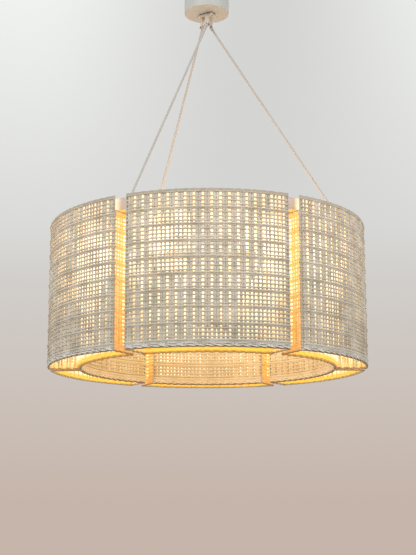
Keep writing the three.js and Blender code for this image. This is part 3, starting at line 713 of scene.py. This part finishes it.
def outlines_object(index, step):
    edges, marks = [], []
    for line in shade_outlines(index, step):
        edges += [(i, i + 1) for i in range(len(marks), len(marks) + len(line) - 1)]
        marks += line
    points, phases, stouts, kinds = zip(*marks)
    return points_object("outlines", points, edges, phase=phases, stout=stouts, kind=kinds)


def row_heights():
    """Each row's height and its count; a band's two cords share one count."""
    rows = []
    for band in range(BAND_COUNT):
        base, count = FIRST_BAND + band * (BAND_ROWS * ROW_PITCH), BAND_ROWS * band
        rows += [(base - BAND_DROP, count), (base + BAND_RISE, count)]
        rows += [(base + step * ROW_PITCH - ROW_SETTLE, count + step) for step in range(1, BAND_ROWS)]
    top = SHADE_HIGH - 2 * RIM_DROP
    rows = [row for row in rows if row[0] < top]
    rows.append((top + 1.5 * MM, rows[-1][1] + 1))
    rows.append((FIRST_BAND - 3 * CORD, -1))
    return rows


def cord_loops(name, outlines, loops, values):
    """A cord around the outlines for each loop: height, row count, wanted kind, girth and outward offset."""
    heights, rows, wants, girth, proud = zip(*loops)
    points = [Vector((0, 0, z)) for z in heights]
    source = points_object("loops", points, row=rows, wants=wants, girth=girth, proud=proud)
    return grow(name, source, ROW_TREE, {"Outlines": outlines, "Material": CORD_LOOK, **values})


def woven_rows(index, outlines):
    """Single rows, and at each band the upper cord stouter and further out."""
    loops = []
    for z, count in row_heights():
        band_height = FIRST_BAND + BAND_RISE + count * ROW_PITCH
        stout = count % BAND_ROWS == 0 and abs(z - band_height) < 1 * MM
        girth, proud = (BAND_GIRTH, BAND_PROUD) if stout else (ROW_GIRTH, 0.0)
        loops.append((z, float(count), 1.0 if z > NOTCH - RIM_DROP else 0.0, girth, proud))
    return cord_loops(f"woven_shade_{index + 1}_rows", outlines, loops, {
        "Cord": CORD, "Sides": 6, "Swing Out": SWING, "Swing Up": 0.0, "Layer": LAYER,
        "Slack": 0.5 * MM, "Seed": 0.37 + index,
    })


def rim_ropes(index, outlines):
    """Two twisted strands over each rim wire: around the foot, over the curved walls and over the ends."""
    edges = ((SHADE_LOW + RIM_DROP, 0.0), (SHADE_HIGH - RIM_DROP, 1.0), (NOTCH - ROPE, 2.0))
    loops = [(z, strand, wants, 1.0, 0.0) for z, wants in edges for strand in (0.0, 1.0)]
    return cord_loops(f"woven_shade_{index + 1}_rims", outlines, loops, {
        "Cord": ROPE, "Sides": 8, "Swing Out": 0.35 * ROPE, "Swing Up": 0.58 * ROPE, "Layer": 0.0,
        "Slack": 0.0, "Seed": 0.5,
    })


def woven_uprights(index):
    """Pairs of uprights along the four walls, and a thin one in each corner."""
    cords, lift = [], Vector((0, 0, SHADE_LOW + RIM_DROP))

    def stand(place, along, height, column, side, paired, girth):
        outward = along.cross(Vector((0, 0, 1)))
        cords.append((place + lift, height, float(column), side, paired, outward, along, girth))

    full = SHADE_HIGH - SHADE_LOW - 2 * RIM_DROP
    short = NOTCH - SHADE_LOW - RIM_DROP
    column = 0
    walls = zip(wall_path(index, FINE_STEP), WALL_PAIRS, UPRIGHT_STOUT, (full, short) * 2)
    for wall, pairs, stout, height in walls:
        along = (wall[1] - wall[0]).normalized()
        corner = wall[0] + CORNER_INSET * (along - along.cross(Vector((0, 0, 1))))
        stand(corner, along, full, column + 0.5, 0.0, 0.0, 0.6)
        for pair in range(pairs):
            spot = (pair + 0.5) / pairs * (len(wall) - 1)
            before = min(int(spot), len(wall) - 2)
            place = wall[before].lerp(wall[before + 1], spot - before)
            along = (wall[before + 1] - wall[before]).normalized()
            for side in (-1.0, 1.0):
                stand(place, along, height, column, side, 1.0, stout)
            column += 1
    feet, *marks = zip(*cords)
    names = ("height", "column", "side", "paired", "outward", "along", "girth")
    source = points_object("uprights", feet, **dict(zip(names, marks)))
    return grow(f"woven_shade_{index + 1}_uprights", source, UPRIGHT_TREE, {
        "Cord": CORD, "Sides": 6, "Step": UPRIGHT_STEP, "Swing Out": SWING, "Layer": LAYER,
        "Row Pitch": ROW_PITCH, "First Row": FIRST_BAND, "Closed": 3.7 * MM, "Open": 5.1 * MM,
        "Closed Girth": 2.05, "Open Girth": 1.22, "Foot Low": SHADE_LOW, "Foot High": SHADE_LOW + 180 * MM,
        "Foot Girth": 1.16, "Seed": PAIR_SEED, "Material": CORD_LOOK,
    })


ROW_TREE = row_tree()
UPRIGHT_TREE = upright_tree()


def build_shades():
    for index in range(SHADE_COUNT):
        outlines, fine_outlines = outlines_object(index, ROW_STEP), outlines_object(index, FINE_STEP)
        uprights = woven_uprights(index)
        rows = woven_rows(index, outlines)
        rims = rim_ropes(index, fine_outlines)
        bpy.data.objects.remove(outlines)
        bpy.data.objects.remove(fine_outlines)
        dress(uprights, CORD_LOOK, "woven_cord", RING, f"woven_shade_{index + 1}")
        dress(rows, CORD_LOOK, "woven_cord", RING)
        dress(rims, CORD_LOOK, "woven_cord", RING)


build_shades()


# Canopy


def build_canopy():
    """A cup with rolled edges and a bore for the stem."""
    low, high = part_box("canopy_cover")
    radius, sheet, edge, bore, lip = high.x, 1.5 * MM, 2.5 * MM, 4.5 * MM, 0.4 * MM
    outline = [(bore, low.z + sheet), (bore, low.z)]
    outline += arc((radius - edge, low.z + edge), edge, -90, 0, 8)
    outline += [(radius, high.z - lip), (radius - lip, high.z), (radius - sheet, high.z)]
    outline += arc((radius - edge, low.z + edge), edge - sheet, 0, -90, 6)
    outline.append(outline[0])
    dress(lathe("canopy_cup", outline, 128), WHITE_PAINT, "white_paint", MOUNT, "canopy_cover")


build_canopy()


# Rods, lugs and their pivots

ROD_COUNT = 3
SPOKES = ("right", "back_left", "front_left")
PIN_RADIUS, PIN_OFFSET, LUG, SLOT = 13 * MM, 8 * MM, 10 * MM, 4.6 * MM
EYE_WIDTH, EYE_THICK, EYE_LENGTH = 9 * MM, 4 * MM, 12 * MM
EYE_PRESS = ((0.45, 0.0), (0.8, 0.25), (1.1, 0.75), (1.4, 1.0))
HUB_PLATE, HUB_TURN, HUB_SCREW_X = (50 * MM, 25 * MM, 5 * MM), math.radians(-32), 20.5 * MM
LUG_FOOT = (34 * MM, 28 * MM, 3 * MM)
ROD_RADIUS, ROD_SIDES = 3.2 * MM, 24
HUB_PIN_Z = -101 * MM
RING_PIN_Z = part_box("ring_cover")[1].z + 9 * MM
SPOKE_TURN = math.atan2(-PIN_OFFSET, CHANNEL_RADIUS - PIN_RADIUS)
ROD_RUN = math.hypot(PIN_OFFSET, CHANNEL_RADIUS - PIN_RADIUS)
ROD_DROP = HUB_PIN_Z - RING_PIN_Z
ROD_LENGTH = math.hypot(ROD_RUN, ROD_DROP)


def spoke_place(index, x, y, z):
    turn = Matrix.Rotation(index * 2 * math.pi / ROD_COUNT, 4, "Z")
    return turn @ Matrix.Translation((x, y, z)) @ Matrix.Rotation(SPOKE_TURN, 4, "Z")


def ear_outline(reach):
    """A strap of the lug's width from the pin's round end to a height above or below the pin."""
    half, start = (LUG / 2, 180) if reach > 0 else (-LUG / 2, 0)
    return [(half, reach), (-half, reach)] + arc((0, 0), LUG / 2, start, start + 180, 12)


def fork_into(bm, reach, place):
    """Two ears and the solid bar that joins them."""
    for side in (-1, 1):
        near, far = sorted((side * SLOT / 2, side * LUG / 2))
        prism_into(bm, ear_outline(reach), near, far, place)
    sign = 1 if reach > 0 else -1
    start = sign * (EYE_WIDTH / 2 + 1 * MM)
    bar = [(-LUG / 2, start), (LUG / 2, start), (LUG / 2, reach), (-LUG / 2, reach)]
    prism_into(bm, bar if sign > 0 else bar[::-1], -SLOT / 2, SLOT / 2, place)


def pivot_screw(name, place, node):
    """A domed head, a shank and a hexagonal nut, along the pin's axis."""
    half, head, shank, tall = LUG / 2 + 0.3 * MM, 4 * MM, 2 * MM, 3 * MM
    along = place @ Matrix.Rotation(math.pi / 2, 4, "X")
    outline = [(0, half + tall)]
    for angle in map(math.radians, (20, 40, 60, 80)):
        outline.append((head * math.sin(angle), half + tall * (0.3 + 0.7 * math.cos(angle))))
    outline += [(head, half + 0.3 * MM), (head - 0.3 * MM, half), (shank, half), (shank, -half), (0, -half)]
    soft, end = 0.4 * MM, -half - tall
    nut = [(0, -half), (head - soft, -half), (head, -half - soft)]
    nut += [(head, end + soft), (head - soft, end), (0, end)]
    bm = bmesh.new()
    lathe_into(bm, outline, 24, along)
    lathe_into(bm, nut, 6, along)
    dress(from_bmesh(name, bm), CHROME, "chrome_plate", RING, node)


def rod_ring(bm, place, x, roundness):
    """A section of a rod, from a flat one at roundness 0 to a round one at 1."""
    wide = EYE_WIDTH / 2 + (ROD_RADIUS - EYE_WIDTH / 2) * roundness
    thick = EYE_THICK / 2 + (ROD_RADIUS - EYE_THICK / 2) * roundness
    ring = []
    for step in range(ROD_SIDES):
        angle = 2 * math.pi * step / ROD_SIDES
        square = 1 + (1 - roundness) * 0.35 * math.sin(2 * angle) ** 2
        spot = Vector((x, thick * square * math.cos(angle), wide * math.sin(angle)))
        ring.append(bm.verts.new(place @ spot))
    return ring


def rod_body(index, name):
    """A straight tube whose ends are pressed into flat eyes around the pins."""
    tilt = Matrix.Rotation(math.atan2(ROD_DROP, ROD_RUN), 4, "Y")
    place = spoke_place(index, PIN_RADIUS, PIN_OFFSET, HUB_PIN_Z) @ tilt
    bm = bmesh.new()
    sections = [(EYE_LENGTH * share, roundness) for share, roundness in EYE_PRESS]
    stations = sections + [(ROD_LENGTH - x, roundness) for x, roundness in reversed(sections)]
    rings = [rod_ring(bm, place, x, roundness) for x, roundness in stations]
    for low, high in zip(rings, rings[1:]):
        for i in range(ROD_SIDES):
            j = (i + 1) % ROD_SIDES
            bm.faces.new([low[i], low[j], high[j], high[i]])
    bm.faces.new(rings[0][::-1])
    bm.faces.new(rings[-1])
    for pin, toward in ((0, 1), (ROD_LENGTH, -1)):
        neck, half = pin + toward * EYE_LENGTH * 0.5, toward * EYE_WIDTH / 2 * 0.98
        outline = arc((pin, 0), EYE_WIDTH / 2, 90 * toward, 90 * toward + 180, 14)
        outline += [(neck, -half), (neck, half)]
        prism_into(bm, outline, -EYE_THICK / 2, EYE_THICK / 2, place)
    dress(from_bmesh(f"rod_tube_{name}", bm), ROD_PAINT, "white_paint", RING, f"suspension_rod_{name}")


def build_hub():
    """The turned plate with its three forks, and the small screw at one end of it."""
    top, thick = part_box("hub_bracket")[1].z, HUB_PLATE[2]
    under = top - thick
    turn = Matrix.Rotation(HUB_TURN, 4, "Z")
    bm = bmesh.new()
    box_into(bm, HUB_PLATE, (0, 0, top - thick / 2), turn)
    for index in range(ROD_COUNT):
        fork_into(bm, under - HUB_PIN_Z, spoke_place(index, PIN_RADIUS, PIN_OFFSET, HUB_PIN_Z))
    hub = soften(from_bmesh("hub_plate_and_lugs", bm, 30), 0.5 * MM)
    dress(hub, HUB_PAINT, "white_paint", RING, "hub_bracket")
    head, tall, shank, play = 3.2 * MM, 2 * MM, 2 * MM, 0.3 * MM
    below = under - play
    outline = [(0, below - tall), (head * 0.6, below - tall * 0.85), (head * 0.92, below - tall * 0.45),
               (head, below), (shank, below), (shank, top - play), (0, top - play)]
    spot = turn @ Matrix.Translation((HUB_SCREW_X, 0, 0))
    dress(lathe("hub_plate_screw_head", outline, 24, spot), ZINC, "zinc_plate", RING, "hub_plate_screw")


def build_spokes():
    """The three rods, their pins and the lugs on the ring."""
    base = CHANNEL_LOW + 5.3 * MM - RING_PIN_Z
    for index, name in enumerate(SPOKES):
        rod_body(index, name)
        top = spoke_place(index, PIN_RADIUS, PIN_OFFSET, HUB_PIN_Z)
        foot = spoke_place(index, CHANNEL_RADIUS, 0, RING_PIN_Z)
        for end, place in (("hub", top), ("ring", foot)):
            pivot_screw(f"{end}_pin_{name}", place, f"{end}_pivot_screw_{name}")
        bm = bmesh.new()
        fork_into(bm, base, foot)
        box_into(bm, LUG_FOOT, (0, 0, base - LUG_FOOT[2] / 2), foot)
        lug = soften(from_bmesh(f"ring_lug_fork_{name}", bm, 30), 0.4 * MM)
        dress(lug, WHITE_PAINT, "white_paint", RING, f"ring_lug_{name}")


build_hub()
build_spokes()


# Ring channel and cover


def build_ring():
    """The box-shaped ring, open above, and the flat cover on it."""
    sheet, edge, soft, half = 2 * MM, 0.8 * MM, 0.4 * MM, CHANNEL_WIDTH / 2
    outer, inner, floor = CHANNEL_RADIUS + half, CHANNEL_RADIUS - half, CHANNEL_LOW
    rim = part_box("ring_channel")[1].z
    outline = arc((inner + edge, floor + edge), edge, 180, 270, 3)
    outline += arc((outer - edge, floor + edge), edge, 270, 360, 3)
    outline += [(outer, rim), (outer - sheet, rim), (outer - sheet, floor + sheet),
                (inner + sheet, floor + sheet), (inner + sheet, rim), (inner, rim)]
    outline.append(outline[0])
    dress(lathe("ring_channel_body", outline, 240), CHANNEL_PAINT, "white_paint", RING, "ring_channel")
    low, high = (corner.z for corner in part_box("ring_cover"))
    cover = [(inner, low), (outer, low), (outer, high - soft), (outer - soft, high), (inner + soft, high),
             (inner, high - soft), (inner, low)]
    dress(lathe("ring_cover_plate", cover, 240), CHANNEL_PAINT, "white_paint", RING, "ring_cover")


build_ring()


# Lamps

LAMP_COUNT = 2 * SHADE_COUNT
BULB_RADIUS, CAP_RADIUS, CAP_TURNS = 24 * MM, 13 * MM, 6
HOLDER_RIBS = 4
LAMP_POWER, LAMP_COLOUR = 0.35, (1.0, 0.63, 0.27)


def bulb_outline(low, neck):
    """A round belly that narrows in a smooth curve to the cap."""
    belly, top, mouth = low + BULB_RADIUS, neck + 1 * MM, CAP_RADIUS - 1 * MM
    outline = [(0, low)] + arc((0, belly), BULB_RADIUS, -80, 0, 8)
    for share in (0.12, 0.25, 0.38, 0.5, 0.62, 0.75, 0.88, 1.0):
        narrowed = 0.5 - 0.5 * math.cos(math.pi * share)
        outline.append((BULB_RADIUS + (mouth - BULB_RADIUS) * narrowed, belly + (neck - belly) * share))
    return outline + [(mouth, top), (0, top)]


def cap_outline(neck, tip):
    """A screw cap with its thread and the contact at its tip."""
    base, steps, depth, contact = neck + 1 * MM, 4 * CAP_TURNS, 0.5 * MM, 4.5 * MM
    outline = [(0, base)]
    for i in range(steps + 1):
        radius = CAP_RADIUS - depth + depth * math.cos(i * math.pi / 2)
        outline.append((radius, base + (tip - 4 * MM - base) * i / steps))
    shoulder = tip - 2 * MM
    return outline + [(10 * MM, shoulder), (contact, shoulder), (contact, tip), (0, tip)]


def holder_outline(mouth, floor):
    """A ribbed cup with a round shoulder, and the nipple that clamps it through the channel's floor."""
    body, nipple, bore, rib, edge = 17 * MM, 5 * MM, 13.3 * MM, 0.7 * MM, 0.8 * MM
    outline = [(0, mouth + 26 * MM), (bore, mouth + 26 * MM), (bore, mouth + 0.5 * MM), (14 * MM, mouth),
               (body - edge, mouth), (body, mouth + edge)]
    for ring in range(HOLDER_RIBS):
        height = mouth + (6 + 5 * ring) * MM
        outline += [(body, height), (body - rib, height + 0.6 * MM), (body - rib, height + 1.4 * MM),
                    (body, height + 2 * MM)]
    outline += [(body, floor - 9 * MM)] + arc((11 * MM, floor - 6 * MM), 6 * MM, 10, 90, 6)
    nut, nut_low, nut_high = 8 * MM, floor + 2.6 * MM, floor + 6.6 * MM
    return outline + [(nipple, floor), (nipple, nut_low), (nut, nut_low), (nut, nut_high), (0, nut_high)]


def lamp_light(label, where):
    """The small light inside a bulb."""
    light = bpy.data.lights.new(f"lamp_light_{label}", "POINT")
    light.energy = LAMP_POWER
    light.color = LAMP_COLOUR
    light.shadow_soft_size = 22 * MM
    lamp = new_object(light.name, light)
    lamp.location = where
    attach(lamp, RING)


def build_lamps():
    low, tip = (corner.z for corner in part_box("bulb_01"))
    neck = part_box("lampholder_01")[0].z - 0.3 * MM
    glass, cap = bulb_outline(low, neck), cap_outline(neck, tip)
    cup = holder_outline(neck + 0.3 * MM, CHANNEL_LOW - 0.3 * MM)
    for number in range(LAMP_COUNT):
        label = f"{number + 1:02d}"
        centre = polar(CHANNEL_RADIUS, -math.pi / 2 + (number + 0.5) * 2 * math.pi / LAMP_COUNT)
        place = Matrix.Translation(centre)
        bulb = lathe(f"bulb_glass_{label}", glass, 32, place)
        bulb.visible_shadow = False
        dress(bulb, LIT_GLASS, "bulb_glass", RING, f"bulb_{label}")
        dress(lathe(f"bulb_screw_cap_{label}", cap, 24, place), ZINC, "zinc_plate", RING)
        holder = lathe(f"lampholder_cup_{label}", cup, 32, place)
        dress(holder, CERAMIC, "porcelain", RING, f"lampholder_{label}")
        lamp_light(label, centre + Vector((0, 0, low + BULB_RADIUS + 4 * MM)))


build_lamps()


# Finishes of the pieces that keep their own shape

KEPT = {
    ZINC: ("ceiling_strap", "stem_nipple", "stem_top_nut"),
    WHITE_PAINT: ("canopy_nut",),
    CHROME: ("stem_carrying_nut",),
    CERAMIC: ("terminal_block",),
    JACKET: ("ring_wiring",),
    FRAME_PAINT: tuple(f"shade_frame_{i + 1}" for i in range(SHADE_COUNT)),
}


def finish_kept_pieces():
    for look, names in KEPT.items():
        for name in names:
            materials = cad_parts[name].data.materials
            materials.clear()
            materials.append(look)


finish_kept_pieces()


# Floor, light and camera

FLOOR_RADIUS, FLOOR_DEPTH, FLOOR_SIDES = 90.0, -7.0, 96
EYE = (0.0, -3.3708, SHADE_LOW - 0.4367)
EYE_TILT, EYE_ROLL, LENS = 0.2072, 0.0023, 76.56

# The wall behind the object: a warm grey low down, plain grey above it, and paler high up at the sides,
# where light on the wall is painted
WALL_LOW, WALL_HIGH, WALL_PALE = srgb(198, 181, 170), srgb(212, 212, 210), srgb(240, 242, 240)
GREY_RISE, PALE_RISE, WALL_MIDDLE, WALL_SIDES = (0.02, 0.25), (0.2, 0.42), 0.04, 0.19


def build_stage():
    """A round pale floor, wide enough to meet the wall at eye height and low enough to look up from."""
    corners = [polar(FLOOR_RADIUS, i * 2 * math.pi / FLOOR_SIDES, FLOOR_DEPTH) for i in range(FLOOR_SIDES)]
    mesh = bpy.data.meshes.new("floor")
    mesh.from_pydata(corners, [], [range(FLOOR_SIDES)])
    floor = new_object("floor", mesh)
    material, nodes, shader, where = finish("pale_floor")
    tone = nodes.mix(nodes.noise(where, 3.0), srgb(244, 229, 217), srgb(250, 235, 223))
    nodes.fill(shader, {"Base Color": tone, "Roughness": 0.8})
    floor.data.materials.append(material)


def build_world():
    """Even pale light; the eye sees a grey wall that is warmer low down and lighter high up at the sides,
    where the light on it is painted.
    """
    world = bpy.data.worlds.new("studio")
    bpy.context.scene.world = world
    world.use_nodes = True
    nodes = Nodes(world.node_tree)
    background = world.node_tree.nodes["Background"]
    nodes.fill(background, {"Color": (1.0, 0.99, 0.98, 1.0), "Strength": 0.66})
    across, _, rise = nodes.parts(nodes.put("ShaderNodeTexCoord").outputs["Generated"])
    aside = nodes.math("ABSOLUTE", nodes.minus(across, WALL_MIDDLE))
    aside = nodes.remap(aside, 0.0, WALL_SIDES, smooth=True)
    wall = nodes.mix(nodes.remap(rise, *GREY_RISE), WALL_LOW, WALL_HIGH)
    wall = nodes.mix(nodes.times(aside, nodes.remap(rise, *PALE_RISE)), wall, WALL_PALE)
    seen = nodes.put("ShaderNodeBackground", {"Color": wall, "Strength": 1.0})
    path = nodes.put("ShaderNodeLightPath").outputs
    direct = nodes.most(path["Is Camera Ray"], path["Is Transmission Ray"])
    direct = nodes.most(direct, path["Is Glossy Ray"])
    mix = nodes.put("ShaderNodeMixShader", {0: direct, 1: background.outputs[0], 2: seen.outputs[0]})
    nodes.fill(world.node_tree.nodes["World Output"], {"Surface": mix.outputs[0]})


def area_light(name, place, target, size, power, colour):
    light = bpy.data.lights.new(name, "AREA")
    light.shape = "DISK"
    light.size = size
    light.energy = power
    light.color = colour
    lamp = new_object(name, light)
    lamp.location = place
    lamp.rotation_euler = (Vector(target) - Vector(place)).to_track_quat("-Z", "Y").to_euler()
    lamp.visible_camera = False


def build_lights():
    middle, daylight = (0, 0, -0.9), (1.0, 0.99, 0.98)
    area_light("front_left_softbox", (-1.9, -2.6, 1.3), middle, 2.0, 54, daylight)
    area_light("front_right_softbox", (2.8, -2.2, 0.7), middle, 1.8, 38, daylight)
    area_light("lamplight_upwards", (0, 0, -0.8), (0, 0, 0), 0.7, 3.1, (1.0, 0.59, 0.34))
    area_light("back_softbox", (0.5, 3.6, 0.6), middle, 2.0, 30, (0.97, 0.98, 1.0))


def build_camera():
    camera = bpy.data.cameras.new("camera")
    camera.lens = LENS
    camera.sensor_width = 36
    camera.sensor_fit = "AUTO"
    camera.clip_start = 0.05
    camera.clip_end = 100
    eye = new_object("camera", camera)
    eye.location = EYE
    eye.rotation_euler = (math.pi / 2 + EYE_TILT, EYE_ROLL, 0.0)
    bpy.context.scene.camera = eye


build_stage()
build_world()
build_lights()
build_camera()
bpy.context.scene.view_settings.view_transform = "Standard"
